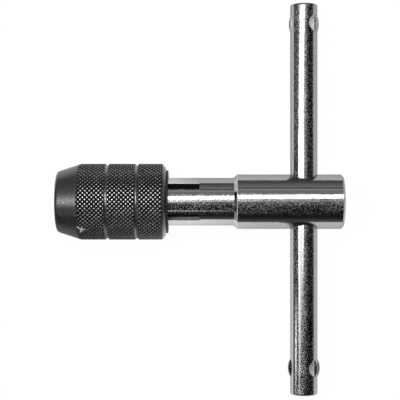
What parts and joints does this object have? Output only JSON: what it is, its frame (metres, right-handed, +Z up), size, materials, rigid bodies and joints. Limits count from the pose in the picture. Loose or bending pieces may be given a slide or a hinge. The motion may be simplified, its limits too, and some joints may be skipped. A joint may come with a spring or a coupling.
{
  "type": "tap wrench",
  "caption": "T-handle tap wrench: knurled chuck sleeve that closes sprung jaws on the square of a tap, with a sliding cross bar.",
  "frame": {"origin": "centre of the nose opening, where the tap goes in, with the jaws fully open", "axes": "+X from the nose back to the head, +Y along the cross bar, +Z up with the tool lying flat"},
  "size_m": [0.0835, 0.114, 0.0222],
  "materials": {
    "plated_steel": "bright plating over turned steel, slightly grainy",
    "black_oxide": "black oxide, satin on the nose, worn brighter on the knurl",
    "black_nitrile": "matt black",
    "spring_steel": "plain oiled steel"
  },
  "bodies": {
    "body": {"body": "plated_steel", "spring_plug": "spring_steel", "friction_spring": "spring_steel", "friction_ball": "spring_steel"},
    "wiper_ring": {"wiper_ring": "black_nitrile"},
    "chuck_sleeve": {"chuck_sleeve": "black_oxide"},
    "jaw_finger_upper": {"jaw_finger_upper": "plated_steel"},
    "jaw_finger_lower": {"jaw_finger_lower": "plated_steel"},
    "jaw_finger_right": {"jaw_finger_right": "plated_steel"},
    "jaw_finger_left": {"jaw_finger_left": "plated_steel"},
    "cross_bar": {"cross_bar": "plated_steel"}
  },
  "joints": [
    {"name": "sleeve_travel", "type": "slide", "parent": "body", "child": "wiper_ring", "axis": [1, 0, 0], "range_m": [0, 0.003]},
    {"name": "sleeve_turn", "type": "hinge", "parent": "wiper_ring", "child": "chuck_sleeve", "pos_m": [0, 0, 0], "axis": [1, 0, 0], "range_deg": [0, 720]},
    {"name": "finger_upper_flex", "type": "hinge", "parent": "body", "child": "jaw_finger_upper", "pos_m": [0.0416, 0, 0.0033], "axis": [0, -1, 0], "range_deg": [0, 1.7]},
    {"name": "finger_lower_flex", "type": "hinge", "parent": "body", "child": "jaw_finger_lower", "pos_m": [0.0416, 0, -0.0033], "axis": [0, 1, 0], "range_deg": [0, 1.7]},
    {"name": "finger_right_flex", "type": "hinge", "parent": "body", "child": "jaw_finger_right", "pos_m": [0.0416, 0.0033, 0], "axis": [0, 0, 1], "range_deg": [0, 1.7]},
    {"name": "finger_left_flex", "type": "hinge", "parent": "body", "child": "jaw_finger_left", "pos_m": [0.0416, -0.0033, 0], "axis": [0, 0, -1], "range_deg": [0, 1.7]},
    {"name": "cross_bar_slide", "type": "slide", "parent": "body", "child": "cross_bar", "axis": [0, 1, 0], "range_m": [-0.0405, 0.0372]}
  ],
  "couplings": [
    {"joint": "sleeve_turn", "follows": "sleeve_travel", "rad_per_m": 4188.8},
    {"joint": "finger_upper_flex", "follows": "sleeve_travel", "rad_per_m": 9.7913},
    {"joint": "finger_lower_flex", "follows": "sleeve_travel", "rad_per_m": 9.7913},
    {"joint": "finger_right_flex", "follows": "sleeve_travel", "rad_per_m": 9.7913},
    {"joint": "finger_left_flex", "follows": "sleeve_travel", "rad_per_m": 9.7913}
  ]
}
